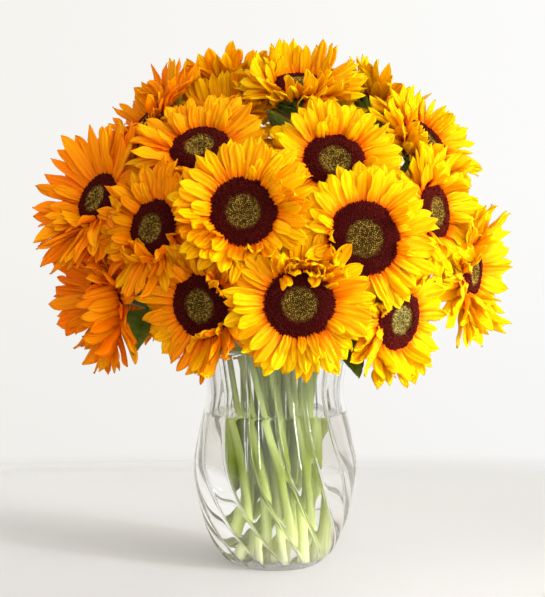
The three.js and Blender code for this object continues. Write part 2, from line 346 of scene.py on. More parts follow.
def makePetalMaterial():
    look = petalLook
    tree = newMaterial("petal")
    uv = addNode(tree, "UVMap", uv_map="petalUv")
    spot = addNode(tree, "SeparateXYZ", uv)
    veins = addStreaks(tree, uv, look["veins"], 3.0, 0.55)
    # the red of the root runs up the blade in uneven streaks
    along = spot["Y"] + (addStreaks(tree, uv, look["streaks"], 2.0) * -0.5 + 0.25)
    stops = zip((0.0, 0.12, 0.36, 0.9), (look[name] for name in ("root", "low", "middle", "tip")))
    ramp = addRamp(tree, along, *stops)
    # painted shade: thin darker lines are painted in the grooves between a petal's ridges, where shade falls
    ridge = (spot["X"] * (pi * look["ridges"])).math("SINE").math("ABSOLUTE")
    tint = veins * 0.42 + ((1.0 - ridge) ** 5.0 * -0.26 + 0.82)
    # the warmth attribute mixes in the deep colour, partly at random and partly as painted shade
    colour = tinted(tree, mixColours(tree, readPoints(tree, "warmth"), ramp, look["deep"]), tint)
    bump = addBump(tree, veins, 0.35, 0.0006)
    finishSkin(tree, colour, bump, look["roughness"], 0.08, look["glowShare"], bump)


floretLook = {
    "heart": (0.042, 0.019, 0.0025),
    "heartEdge": (0.08, 0.032, 0.004),
    "pale": (0.36, 0.35, 0.11),  # the heart of the one unripe flower
    "gap": (0.036, 0.0016, 0.003),
    "ring": (0.05, 0.002, 0.0032),
    "rim": (0.06, 0.0026, 0.0024),
    "heartTip": (0.06, 0.03, 0.004),
    "fleck": (0.42, 0.27, 0.05),
    "ringTip": (0.07, 0.0035, 0.0045),
    "blotches": 260.0,  # how closely the noises that move the colours' edges and pick the flecks are set
    "flecks": 520.0,
    "grain": 1500.0,
}


def makeFloretMaterial():
    # colour by share of the disc's radius, with pale tips on the florets of the heart
    look = floretLook
    tree = newMaterial("floret")
    share, tipness, unripe = (readPoints(tree, name) for name in ("share", "tipness", "unripe"))
    where = addNode(tree, "TexCoord")["Object"]
    place = share + (addNoise(tree, where, look["blotches"], 2.0) * 0.14 - 0.07)
    body = addRamp(
        tree, place, (0.36, look["heart"]), (0.47, look["heartEdge"]), (0.54, look["gap"]),
        (0.74, look["ring"]), (1.0, look["rim"]),
    )
    tips = addRamp(tree, place, (0.45, look["heartTip"]), (0.56, look["ringTip"]))
    colour = mixColours(tree, tipness, body, tips)
    # some of the heart's tips are gold
    fleck = addRamp(tree, addNoise(tree, where, look["flecks"], 1.0), (0.42, 0), (0.58, 1))
    inHeart = addRamp(tree, place, (0.0, 0.55), (0.4, 1), (0.54, 0.05), (1.0, 0.02))
    colour = mixColours(tree, fleck * inHeart * tipness, colour, look["fleck"])
    inMiddle = addRamp(tree, place, (0.0, 0.75), (0.42, 0.6), (0.5, 0))
    colour = mixColours(tree, unripe * inMiddle * (fleck * 0.8 + 0.2), colour, look["pale"])
    grain = addGrain(tree, where, colour, look["grain"])
    finishSkin(tree, grain["Colour"], addBump(tree, grain["Height"], 0.4, 0.0003), 0.6, 0.015)


def makeGreenMaterial(name, colour, pale, scale, roughness, through):
    # a plant's green skin: mottled, paler in patches, and a little translucent where it is thin
    tree = newMaterial(name)
    where = addNode(tree, "TexCoord")["Object"]
    patches = addRamp(tree, addNoise(tree, where, scale / 8, 3.0), (0.35, 0), (0.68, 1))
    grain = addGrain(tree, where, mixColours(tree, patches, colour, pale), scale)
    bump = addBump(tree, grain["Height"], 0.35, 0.0005)
    finishSkin(tree, grain["Colour"], bump, roughness, 0.2, through)


# a stem's colours from its cut foot to its head; the nearly white foot and the pale band at the vase's neck
# are painted light, brighter than the green to stand in for light that the glass and the flowers keep off
stemGreenAndPaintedLight = (
    (0.0, (0.98, 1.0, 0.8)), (0.1, (0.86, 0.93, 0.46)), (0.28, (0.37, 0.47, 0.03)),
    (0.42, (0.78, 0.88, 0.38)), (0.6, (0.6, 0.72, 0.28)), (1.0, (0.14, 0.24, 0.03)),
)


def makeStemMaterial():
    tree = newMaterial("stem")
    uv = addNode(tree, "UVMap", uv_map="stemUv")
    # the ramp paints light onto the stem's foot and onto the band at the vase's neck
    ramp = addRamp(tree, addNode(tree, "SeparateXYZ", uv)["Y"], *stemGreenAndPaintedLight)
    # one stem is greener than the next, and fine streaks run along it
    tone = addStreaks(tree, uv, (0.73, 1.2, 1.0), 0.0) * 1.3 + 0.3
    streaks = addStreaks(tree, uv, (34.0, 5.0, 1.0), 3.0)
    colour = tinted(tree, ramp, (streaks * 0.7 + 0.66) * tone)
    bump = addBump(tree, streaks, 0.4, 0.0005)
    finishSkin(tree, colour, bump, 0.4, 0.4, 0.4, bump)


def makeClearMaterial(name, colour, ior, shadow):
    # glass or water: refracts what is seen, and lets most light through to what stands in it
    tree = newMaterial(name)
    clear = addNode(tree, "BsdfPrincipled", Base_Color=colour, Roughness=0, IOR=ior, Transmission_Weight=1)
    passing = addNode(tree, "BsdfTransparent", shadow)
    shaded = addNode(tree, "LightPath")["Is Shadow Ray"]
    addNode(tree, "OutputMaterial", addNode(tree, "MixShader", shaded, clear, passing))


makePetalMaterial()
makeFloretMaterial()
makeStemMaterial()
makeGreenMaterial("calyx", (0.1, 0.165, 0.014), (0.2, 0.29, 0.045), 900, 0.65, 0.15)
makeGreenMaterial("leaf", (0.16, 0.25, 0.025), (0.3, 0.4, 0.08), 420, 0.6, 0.35)
makeClearMaterial("glass", (1.0, 0.996, 0.984), 1.5, (0.76, 0.755, 0.72))
makeClearMaterial("water", (1.0, 1.0, 0.99), 1.33, (0.94, 0.94, 0.89))
print("materials made")


def newTree(name, **inputs):
    tree, given = newGroup(name, "GeometryNodeTree", {"Geometry": "Geometry"}, Geometry="Geometry", **inputs)
    tree.is_modifier = True
    return tree, given


def joinParts(tree, *parts):
    node = tree.nodes.new("GeometryNodeJoinGeometry")
    for part in parts:
        tree.links.new(part.socket, node.inputs[0])
    return Wire(node.outputs[0])


def finishTree(tree, grown, material, *given):
    # what has grown is made real, joined to what was given, and put in one material
    whole = addNode(tree, "GeometryNodeRealizeInstances", grown)
    if given:
        whole = joinParts(tree, *given, whole)
    whole = addNode(tree, "GeometryNodeSetMaterial", Geometry=whole, Material=materials[material])
    addNode(tree, "NodeGroupOutput", whole)
    return tree


def shapeOf(tree, made):
    return addNode(tree, "GeometryNodeObjectInfo", Object=made)["Geometry"]


def polar(tree, radius, angle, height):
    x, y = (radius * angle.math(side) for side in ("COSINE", "SINE"))
    return addNode(tree, "CombineXYZ", x, y, height)


def randomIn(tree, low, high, seed):
    return addNode(tree, "FunctionNodeRandomValue", None, None, low, high, data_type="FLOAT", Seed=seed)[1]


def grownMesh(name, baseMesh, tree, **values):
    # runs a node tree over a base mesh and gives back the plain mesh it makes
    carrier = addObject(name + "Carrier", baseMesh)
    modifier = carrier.modifiers.new("grow", "NODES")
    modifier.node_group = tree
    sockets = {s.name: s.identifier for s in tree.interface.items_tree if s.in_out == "INPUT"}
    for label, value in values.items():
        modifier[sockets[label.replace("_", " ")]] = value
    evaluated = carrier.evaluated_get(bpy.context.evaluated_depsgraph_get())
    mesh = bpy.data.meshes.new_from_object(evaluated)
    mesh.name = name
    carrier.modifiers.clear()
    bpy.data.objects.remove(carrier)
    mesh.shade_smooth()
    return mesh


discShape = {
    "count": 1060,
    "crown": 0.0042,  # how far the ring of open florets stands over the disc's edge
    "dimple": 0.0030,  # how far the heart sits below that crown
    "unripe": (5,),  # heads whose heart is still pale
    "heart": 0.56,  # the heart's radius as a share of the disc's
    "floret": 0.00148,
    "lean": 0.55,  # how far the florets at the rim lean out
    "wobble": 0.16,
    "sides": 40,
    "rings": 7,
}


def floretTemplate(name, profile, tipsFrom):
    # a small body of revolution; its corners above tipsFrom carry tipness 1
    size = discShape["floret"]
    places, faces = turnedMesh([(size * radius, size * height) for radius, height in profile], 5)
    mesh = meshFrom(name, places, faces)
    setPoints(mesh, "tipness", [1.0 if p[2] >= size * tipsFrom else 0.0 for p in places])
    return addObject(name, mesh, hidden=True)


budTemplate = floretTemplate("budTemplate", [(0, 0), (0.54, 0.5), (0.4, 1.2), (0, 1.4)], 1.15)
openTemplate = floretTemplate("openTemplate", [(0, 0), (0.5, 1.0), (0.42, 1.75), (0, 1.4)], 1.6)


def discHeight(share, look=discShape):
    # height of the disc's skin at a share of its radius
    return look["crown"] * (1 - share ** 4) - look["dimple"] * exp(-((share / look["heart"]) ** 2) * 2)


def makeFloretTree():
    look = discShape
    tree, given = newTree(
        "floretSpiral", Radius=0.03, Count=look["count"], Crown=look["crown"], Dimple=look["dimple"],
        Heart=look["heart"], Seed=1, Unripe=0.0,
    )
    index = addNode(tree, "GeometryNodeInputIndex")
    share = ((index + 0.5) / given["Count"]).math("SQRT")
    angle = index * (pi * (3 - sqrt(5)))  # the golden angle
    inHeart = share / given["Heart"]
    fall = (inHeart * inHeart * -2.0).math("EXPONENT")
    height = given["Crown"] * (1.0 - share ** 4.0) - given["Dimple"] * fall
    place = polar(tree, share * (given["Radius"] * 0.97), angle, height)
    points = addNode(tree, "GeometryNodePoints", Count=given["Count"], Position=place)
    for name, value in (("share", share), ("unripe", given["Unripe"])):
        points = addNode(
            tree, "GeometryNodeStoreNamedAttribute", data_type="FLOAT", domain="POINT",
            Geometry=points, Name=name, Value=value,
        )
    # florets lean out from the middle, more so near the rim, each turned its own way
    limits = [(side * look["wobble"], side * look["wobble"], 0) for side in (-1, 1)]
    wobble = addNode(tree, "FunctionNodeRandomValue", *limits, data_type="FLOAT_VECTOR", Seed=given["Seed"])
    outward = polar(tree, share * look["lean"], angle, 1.0)
    aimed = addNode(tree, "VectorMath", outward, wobble, operation="ADD")
    turn = addNode(tree, "FunctionNodeAlignRotationToVector", axis="Z", Vector=aimed)
    scale = randomIn(tree, 0.8, 1.2, given["Seed"]) * (share * 0.35 + 0.8)
    isHeart = share.math("LESS_THAN", given["Heart"])
    grown = [
        addNode(
            tree, "GeometryNodeInstanceOnPoints", Points=points, Selection=chosen, Rotation=turn, Scale=scale,
            Instance=shapeOf(tree, template),
        )
        for template, chosen in ((budTemplate, isHeart), (openTemplate, 1.0 - isHeart))
    ]
    return finishTree(tree, joinParts(tree, *grown), "floret", given)


floretTree = makeFloretTree()


def headMatrix(head):
    turn = Matrix((head.across, head.upward, head.normal)).transposed()
    return Matrix.Translation(head.centre) @ turn.to_4x4()


def makeDisc(head):
    # the disc's closed cushion, and the spiral of florets on it
    look, radius = discShape, head.disc * 0.97
    skin = [(0, -0.004), (radius * 0.8, -0.004), (radius, -0.0015)]
    shares = [1 - k / look["rings"] for k in range(look["rings"])] + [0]
    skin += [(radius * s, discHeight(s) - 0.0004) for s in shares]
    places, faces = turnedMesh(skin, look["sides"])
    base = meshFrom("cushion", places, faces)
    setPoints(base, "share", [hypot(p[0], p[1]) / radius for p in places])
    mesh = grownMesh("disc_" + head.mark, base, floretTree, Radius=radius, Seed=head.number,
                     Unripe=float(head.number in look["unripe"]))
    mesh.transform(headMatrix(head))
    addPiece(mesh, "floret", "bloom_" + head.mark)


petalShape = {
    "ring": 33,  # petals in each of the two full rings
    "inner": 18,  # short ruffled petals in front of them, in clusters
    "clusters": 3,
    # what follows in threes is for the back ring, the front ring and the ruffled petals
    "share": (1.0, 0.93, 0.62),  # length
    "lean": (-0.10, 0.12, 0.75),
    "bend": (-0.3, -0.12, -0.75),
    "rootOut": (0.95, 0.92, 0.88),
    "rootUp": (-0.0012, 0.0004, 0.0016),
    "upright": [radians(t) for t in (60, 60, 50)],
    "firstLaid": (2, 4, 5, 3, 1),  # heads whose petals lie in front of their neighbours'
    "reach": 1.06,  # how far the longest tips pass the plain model's
    "reachOf": {9: 1.12, 14: 0.88, 15: 1.1, 19: 1.14},  # heads with longer or shorter petals
    "width": 0.0122,
    "rootWidth": 0.46,  # width where a petal leaves the disc, as a share
    "full": 0.24,  # place where a petal reaches its full width
    "taper": 0.66,  # place where it begins to narrow to its tip
    "across": 8,
    "along": 12,
    "thickness": 0.00034,
    "groove": 0.001,
    "cup": 0.3,
    "ripple": 0.0010,
    "crumple": 0.0011,
    "roll": radians(9),  # each petal dips one edge under the next
    "spread": radians(8),
    "clear": 0.0012,  # distance that petals keep from each other
    "proud": 0.013,  # how far petals may stand out of the plain model's box
}
# arcs of petals that fold over their own disc, or away from it, as (middle, half width, fold) in degrees
foldedArcs = {
    1: [(-95, 34, 30), (178, 30, 24), (-25, 36, 26)],
    2: [(95, 48, 44)],
    4: [(-120, 34, 26)],
    5: [(-90, 55, 22)],
    6: [(-80, 45, 50)],
    9: [(180, 60, -24)],
    10: [(190, 50, 34)],
    11: [(0, 50, -20)],
    12: [(-10, 50, -14)],
    13: [(-30, 50, 24)],
    14: [(-90, 60, 14), (90, 80, 30)],
    18: [(90, 80, 22)],
}


def halfWidth(share, point, look=petalShape):
    if share < look["full"]:
        return lerp(look["rootWidth"], 1.0, sin(share / look["full"] * pi / 2)) / 2
    if share < look["taper"]:
        return 0.5
    return (1 - ((share - look["taper"]) / (1 - look["taper"])) ** point) * 0.5 + 0.00001


class Petal:
    # one petal's own numbers; places() gives its corners once it is tilted, bent and trimmed to fit
    def __init__(self, head, angle, layer, chance):
        look, number, ruffled = petalShape, head.number, layer == 2
        self.head, self.angle, self.layer = head, angle, layer
        free, uniform, gauss = head.free * 0.85, chance.uniform, chance.gauss
        reach = (head.tip * look["reach"] - head.disc * 0.9) / cos(free) * look["reachOf"].get(number, 1)
        self.length = reach * look["share"][layer] * uniform(0.82, 1.05)
        self.width = look["width"] * uniform(0.7, 1.12) * (0.8 if ruffled else 1.0)
        self.tilt = free + look["lean"][layer] + gauss(0, look["spread"] * (1 + ruffled))
        self.bend = gauss(look["bend"][layer], 0.25 + 0.3 * ruffled)
        self.sway = gauss(0, 0.15)
        self.roll = look["roll"] * uniform(0.5, 1.5)
        self.twist = gauss(0, 0.32)
        self.cup = look["cup"] * (uniform(-0.7, 1.6) if chance.random() < 0.85 else 3.4)
        self.curls = (gauss(0.1, 0.4), gauss(0.1, 0.4))
        self.groove = look["groove"] * uniform(0.6, 1.5)
        self.phase = uniform(0, tau)
        self.waves = uniform(1.2, 2.4)
        self.swing = uniform(0.05, 0.3)
        self.hook = gauss(0.1, 0.9)
        self.point = uniform(1.7, 3.2)
        self.warmth = chance.random()
        self.grain = chance.randrange(60)
        self.fold = 0.0
        for middle, half, amount in foldedArcs.get(number, []):
            off = abs((degrees(angle) - middle + 180) % 360 - 180) / half
            if off < 1 and (layer or amount < 30):
                self.fold += radians(amount) * (1 - smoothStep(0.6, 1.0, off))
                self.length *= 1 - 0.2 * (amount > 40)

    def places(self, fit, across, along):
        extra, curve, trim = fit
        head, rows, look = self.head, [], petalShape
        normal = head.normal
        radial = head.across * cos(self.angle) + head.upward * sin(self.angle)
        tangent = normal.cross(radial)
        root = head.disc * look["rootOut"][self.layer], look["rootUp"][self.layer]
        spot = head.centre + radial * root[0] + normal * root[1]
        for k in range(along + 1):
            share = k / along
            # the extra tilt comes in over the first part of the blade
            tilt = self.tilt + extra * smoothStep(0, 0.3, share) + (self.bend + curve) * share
            tilt += self.fold * (smoothStep(0, 0.2, share) + share)
            swing = self.swing * share * sin(self.waves * 3 * share + self.phase)
            tilt += self.hook * max(0, share - 0.7) + swing
            yaw = self.sway * share
            level = radial * cos(yaw) + tangent * sin(yaw)
            ahead = level * cos(tilt) + normal * sin(tilt)
            flat = (tangent * cos(yaw) - radial * sin(yaw)).normalized()
            turn = self.roll * (1 - share * 0.6) + self.twist * share
            aside = flat * cos(turn) + ahead.cross(flat) * sin(turn)
            face = ahead.cross(flat) * cos(turn) - flat * sin(turn)
            half = halfWidth(share, self.point) * self.width
            grown = smoothStep(0, 0.25, share)
            wave = self.waves * tau * share + self.phase
            row = []
            for j in range(across + 1):
                u = 2 * j / across - 1
                lift = self.cup * half * u * u + self.curls[u > 0] * grown * half * abs(u) ** 3
                lift -= self.groove * cos(u * 3 * pi / 1.35) * min(1, half / 0.004)
                lift += look["ripple"] * grown * abs(u) ** 3 * sin(wave + u)
                soft = noise.noise_vector(Vector((u * 0.9, share * 2.6, self.phase * 9 + head.number)))
                row.append(spot + aside * (half * u) - face * lift + soft * (look["crumple"] * grown))
            rows.append(row)
            spot = spot + ahead * (self.length * trim / along)
        return rows


def fitTries():
    # tilts, bends and trims in degrees and shares, the least change first
    tries = []
    for tilt in (0, 7, 14, 22, 31, 42, 55, 72, 90, -7, -14, -22, -31, -42):
        for bend in (0, 30, -30):
            for trim in (1.0, 0.8, 0.64):
                cost = max(tilt * 0.011, -tilt * 0.006) + max(0, tilt - 31) * 0.012
                cost = cost + abs(bend) * 0.005 + (1 - trim) * 1.1
                tries.append((cost, (radians(tilt), radians(bend), trim)))
    return sorted(tries)


def obstaclesFor(head):
    # the stems, calyxes and discs of all the other flowers, as one tree of triangles
    places, faces = [], []
    for other in heads:
        if other is head:
            continue
        disc, matrix = other.disc, headMatrix(other)
        core, coreFaces = turnedMesh([(0, -0.006), (disc, -0.003), (disc * 0.98, 0.003), (0, 0.0065)], 14)
        core = [matrix @ Vector(p) for p in core]
        for partPlaces, partFaces in (weldedNode("stem_" + other.mark), (core, coreFaces)):
            faces += [[c + len(places) for c in face] for face in partFaces]
            places += partPlaces
    return BVHTree.FromPolygons(places, faces)


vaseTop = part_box("vase")[1].z
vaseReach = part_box("vase")[1].x


def troubleOf(rows, trees):
    # how badly a petal's sheet runs through what is there already
    trouble, proud = 0.0, petalShape["proud"]
    for line in zip(*rows):
        for a, b in zip(line, line[1:]):
            ahead = b - a
            trouble += sum(tree.ray_cast(a, ahead, ahead.length)[0] is not None for tree in trees)
            if b.z < vaseTop + 0.004 and hypot(b.x, b.y) < vaseReach + 0.002:
                trouble += 1.5
            if any(b[i] < cadBox[0][i] - proud or b[i] > cadBox[1][i] + proud for i in range(3)):
                trouble += 1.0
    for row in rows[2:]:
        for tree in trees:
            if tree.find_nearest(row[len(row) // 2], petalShape["clear"])[0] is not None:
                trouble += 0.35
    return trouble


def bestFit(petal, tries, trees):
    best = None
    for cost, fit in tries:
        if best is not None and cost >= best[0]:
            break
        trouble = 0.7 * troubleOf(petal.places(fit, 2, 6), trees)
        if best is None or cost + trouble < best[0]:
            best = (cost + trouble, fit, trouble)
    return best


def growPetals():
    # petals are placed head by head, the front ones first; each takes the least change that finds room
    look = petalShape
    placed, faces, strained, tries = [], [], 0, fitTries()
    early = look["firstLaid"]
    for head in sorted(heads, key=lambda h: early.index(h.number) if h.number in early else len(early)):
        chance = random.Random(1000 + head.number)
        petals = []
        for layer in (0, 1):
            for k in range(look["ring"]):
                angle = tau * (k + 0.5 * layer + chance.uniform(-0.22, 0.22)) / look["ring"]
                petals.append(Petal(head, angle, layer, chance))
        clusters = [chance.uniform(0, tau) for _ in range(look["clusters"])]
        for k in range(look["inner"]):
            petals.append(Petal(head, clusters[k % len(clusters)] + chance.gauss(0, 0.45), 2, chance))
        trees = [obstaclesFor(head)]
        if faces:
            trees.append(BVHTree.FromPolygons(placed, faces))
        for petal in petals:
            _, petal.fit, trouble = bestFit(petal, tries, trees)
            strained += trouble > 0.9
        # a petal that would have to stand up in front of the disc to find room is left out
        head.petals = [p for p in petals if p.fit[0] < look["upright"][p.layer]]
        for petal in head.petals:
            faces += sheetFaces(6, 2, len(placed))
            placed += [place for row in petal.places(petal.fit, 2, 6) for place in row]
    print("petals placed,", strained, "still touch something")


def paintedShadeWarmth(head):
    # painted shade: each part of the bunch is painted more orange on the side away from the light
    # painted shade: heads low down are painted deeper, against the extra light of the low lamp
    lowDown = 1 - smoothStep(0.2, 0.3, head.centre.z)
    return 0.74 - 0.8 * smoothStep(-0.17, 0.1, head.centre.x) + 0.22 * lowDown


def makePetals(head):
    look = petalShape
    across, along = look["across"], look["along"]
    places, faces, uvs, warmth = [], [], [], []
    grid = [(j / across * 0.999, r / along) for r in range(along + 1) for j in range(across + 1)]
    for petal in head.petals:
        faces += sheetFaces(along, across, len(places))
        places += [place for row in petal.places(petal.fit, across, along) for place in row]
        uvs += [(petal.grain + u, v) for u, v in grid]
        # painted shade from the head's place, plus each petal's own random warmth
        warmth += [min(1, max(0, paintedShadeWarmth(head) + (petal.warmth - 0.5) * 0.5))] * len(grid)
    mesh = meshFrom("petals_" + head.mark, places, faces)
    setUvs(mesh, "petalUv", [uvs[corner] for face in faces for corner in face])
    setPoints(mesh, "warmth", warmth)
    thicken(addPiece(mesh, "petal", "bloom_" + head.mark), look["thickness"])


calyxShape = {
    "bracts": 26,
    "depth": 0.015,
    "seat": 0.0056,
    "length": 0.021,
    "width": 0.0085,
    "thickness": 0.0006,
    "sides": 32,
    "rowDrop": 0.0035,  # how far back the lower row of bracts sits
}


def makeBractTemplate():
    # a pointed, keeled bract along +X with its root at the origin
    look = calyxShape
    along, across = 6, 4
    places = []
    for k in range(along + 1):
        share = k / along
        half = look["width"] / 2 * (1 - share ** 2) ** 0.8 * (0.75 + 0.5 * share) + 0.0002 * (1 - share)
        for j in range(across + 1):
            u = 2 * j / across - 1
            rise = 0.0035 * share ** 2 + 0.0011 * u * u - 0.0016 * share
            places.append((look["length"] * share, half * u, rise))
    mesh = meshFrom("bractTemplate", places, sheetFaces(along, across))
    template = addObject("bractTemplate", mesh, hidden=True)
    thicken(template, look["thickness"], -1)
    return template


bractTemplate = makeBractTemplate()


def makeBractTree():
    look = calyxShape
    tree, given = newTree(
        "bractRings", Count=look["bracts"], Radius=0.02, Drop=0.0, Lift=0.0, Size=1.0, Seed=1
    )
    count, seed = given["Count"], given["Seed"]
    index = addNode(tree, "GeometryNodeInputIndex")
    odd = index.math("MODULO", 2.0)
    angle = (index + randomIn(tree, -0.3, 0.3, seed)) / count * tau
    # every second bract belongs to the lower row, further back and closer to the stem
    place = polar(tree, given["Radius"] * (odd * -0.2 + 1.0), angle, odd * -look["rowDrop"] - given["Drop"])
    raised = randomIn(tree, -0.22, 0.22, seed) - given["Lift"]
    grown = addNode(
        tree, "GeometryNodeInstanceOnPoints",
        Points=addNode(tree, "GeometryNodePoints", Count=count, Position=place),
        Instance=shapeOf(tree, bractTemplate),
        Rotation=addNode(tree, "FunctionNodeEulerToRotation", addNode(tree, "CombineXYZ", 0, raised, angle)),
        Scale=randomIn(tree, 0.85, 1.15, seed) * given["Size"],
    )
    return finishTree(tree, grown, "calyx", given)


bractTree = makeBractTree()


def makeCalyx(head):
    look, radius, wide = calyxShape, head.stemRadius, head.disc * 0.9
    seat, low, steps = -look["seat"], -look["seat"] - look["depth"], 6
    cup = [(0, low - 0.004), (radius * 0.9, low - 0.003)]
    for k in range(steps + 1):
        swell = sin(k / steps * pi / 2) ** 1.2
        cup.append((lerp(radius * 1.02, wide, swell), lerp(low, seat - 0.001, k / steps)))
    cup += [(wide * 0.96, seat + 0.0004), (0, seat + 0.0004)]
    mesh = grownMesh(
        "calyx_" + head.mark, meshFrom("cup", *turnedMesh(cup, look["sides"])), bractTree,
        Radius=head.disc * 0.74, Drop=look["seat"] + 0.0035, Lift=head.free * 0.6 + 0.1,
        Seed=head.number, Size=head.disc / 0.028,
    )
    mesh.transform(headMatrix(head))
    addPiece(mesh, "calyx", "stem_" + head.mark)


stalkShape = {
    "sides": 14,
    "stepLength": 0.006,
    "ribs": 7,
    "ribDepth": 0.04,
    "flare": 1.5,
    "flareLength": 0.03,
    "straight": 0.08,  # a run longer than this, inside the vase, stays straight
}


def curvePoints(points, spacing):
    # a smooth line through the given points, evenly stepped
    dense = []
    for i, (b, c) in enumerate(zip(points, points[1:])):
        a, d = points[max(0, i - 1)], points[min(len(points) - 1, i + 2)]
        if i == 0:
            a = b * 2 - c
        if (c - b).length > stalkShape["straight"]:
            a, d = b * 2 - c, c * 2 - b
        steps = max(2, int((c - b).length / 0.001))
        for k in range(steps):
            t = k / steps
            dense.append(0.5 * ((2 * b) + (c - a) * t + (2 * a - 5 * b + 4 * c - d) * t * t
                                + (3 * b - a - 3 * c + d) * t ** 3))
    dense.append(points[-1])
    even, left = [dense[0]], 0.0
    for a, b in zip(dense, dense[1:]):
        left += (b - a).length
        if left >= spacing:
            even.append(b)
            left = 0.0
    even.append(dense[-1])
    return even


def makeStalk(head):
    look, sides = stalkShape, stalkShape["sides"]
    end = head.centre - head.normal * (calyxShape["seat"] + calyxShape["depth"] * 0.5)
    line = curvePoints(head.path + [end], look["stepLength"])
    length = len(line) - 1
    chance = random.Random(500 + head.number)
    turn = chance.uniform(0, 6)
    bow = chance.uniform(0.6, 0.9)
    places, faces, aside = [], [], Vector((1, 0, 0))
    for k, spot in enumerate(line):
        ahead = (line[min(k + 1, length)] - line[max(k - 1, 0)]).normalized()
        aside = (aside - ahead * aside.dot(ahead)).normalized()
        other = ahead.cross(aside)
        fromTop = (length - k) * look["stepLength"]
        flare = 1 + (look["flare"] - 1) * (1 - smoothStep(0, look["flareLength"], fromTop))
        body = head.stemRadius * flare * (bow + 0.03 * sin(k * 0.11 + turn))
        for j in range(sides):
            angle = tau * j / sides
            radius = body * (1 + look["ribDepth"] * cos(look["ribs"] * angle + turn))
            places.append(spot + aside * (radius * cos(angle)) + other * (radius * sin(angle)))
    edges = [head.number + 0.999 * j / sides for j in range(sides + 1)]
    uvs = []
    for k in range(length):
        for j in range(sides):
            a, b = k * sides + j, k * sides + (j + 1) % sides
            faces.append([a, b, b + sides, a + sides])
            uvs += [(edges[j + x], (k + y) / length) for x, y in ((0, 0), (1, 0), (1, 1), (0, 1))]
    for ring, row in ((range(sides)[::-1], 0.0), (range(length * sides, length * sides + sides), 1.0)):
        faces.append(list(ring))
        uvs += [(edge, row) for edge in edges[:-1]]
    mesh = meshFrom("stalk_" + head.mark, places, faces)
    setUvs(mesh, "stemUv", uvs)
    addPiece(mesh, "stem", "stem_" + head.mark)


growPetals()
for head in heads:
    makeStalk(head)
    makeCalyx(head)
    makeDisc(head)
    makePetals(head)
print("flowers made")


vaseShape = {
    # the outer wall from the foot to the rim, as (radius, height)
    "wall": [(0.039, 0.0), (0.046, 0.005), (0.055, 0.016), (0.0666, 0.045), (0.0738, 0.087), (0.0696, 0.118),
             (0.0626, 0.155), (0.0646, 0.178), (0.069, 0.2)],
    "glass": 0.0034,
    "floor": 0.008,
    "flutes": 16,
    "fluteDepth": 0.002,
    "insideShare": 0.9,  # how much of the flutes shows on the inner wall
    "fadeFoot": 0.006,  # heights over which the flutes fade out at the foot and at the lip
    "fadeLip": 0.004,
    "swirl": radians(60),
    "swirlBend": 3.0,
    "columns": 16 * 20,
    "rows": 150,
}


def splineRow(points, count):
    # evenly spread points on a smooth line through a profile's (radius, height) points
    spaced = curvePoints([Vector((r, 0, z)) for r, z in points], 0.0004)
    picked = [spaced[round(i * (len(spaced) - 1) / (count - 1))] for i in range(count)]
    return [(p.x, p.z) for p in picked]


def innerWall():
    look = vaseShape
    inset = look["glass"] + look["fluteDepth"] * 0.4
    floor, corner = look["floor"], look["floor"] + 0.006
    radii, heights = zip(*splineRow(look["wall"], 120))
    low = float(np.interp(corner, heights, radii)) - inset
    wall = [(r - inset, z) for r, z in splineRow(look["wall"], 60) if z > corner + 0.006]
    return [(0.0, floor), (low - 0.016, floor), (low - 0.006, floor + 0.0018), (low - 0.001, corner)] + wall


def makeVaseTree():
    # a grid bent round the profile: X of the grid runs round the vase and Y along the profile
    look = vaseShape
    tree, given = newTree(
        "swirledVase", Profile="Object", Columns=look["columns"], Rows=look["rows"],
        Flutes=float(look["flutes"]), Flute_depth=look["fluteDepth"], Outside_share=0.5, Height=0.2,
        Swirl=look["swirl"], Swirl_bend=look["swirlBend"],
    )
    grid = addNode(tree, "GeometryNodeMeshGrid", 1.0, 1.0, given["Columns"] + 1.0, given["Rows"])
    spot = addNode(tree, "SeparateXYZ", addNode(tree, "GeometryNodeInputPosition"))
    around, along = spot["X"] + 0.5, spot["Y"] + 0.5
    line = shapeOf(tree, given["Profile"])
    sample = addNode(
        tree, "GeometryNodeSampleCurve", mode="FACTOR", use_all_curves=True, Curves=line, Factor=along
    )
    profile = addNode(tree, "SeparateXYZ", sample["Position"])
    radius, height = profile["X"], profile["Z"]
    below = (1.0 - height / given["Height"]).math("MAXIMUM", 0.0)
    angle = around * tau + given["Swirl"] * below ** given["Swirl bend"]
    # flutes bulge between narrow creases, fade out at the foot and the lip, and show faintly inside
    bulge = (around * given["Flutes"] * pi).math("SINE").math("ABSOLUTE") ** 0.45
    share = along.math("LESS_THAN", given["Outside share"]) * (1 - look["insideShare"]) + look["insideShare"]
    fromFoot = (height / look["fadeFoot"]).math("MINIMUM", 1.0)
    fromLip = ((given["Height"] - height) / look["fadeLip"]).math("MINIMUM", 1.0)
    depth = (1.0 - bulge) * given["Flute depth"] * share * (fromFoot * (fromLip * 0.7 + 0.3))
    drawn = (radius - depth * (radius / 0.03).math("MINIMUM", 1.0)).math("MAXIMUM", 0.0)
    bent = addNode(tree, "GeometryNodeSetPosition", Geometry=grid, Position=polar(tree, drawn, angle, height))
    merged = addNode(tree, "GeometryNodeMergeByDistance", Geometry=bent, Distance=0.00001)
    return finishTree(tree, merged, "glass")


vaseTree = makeVaseTree()


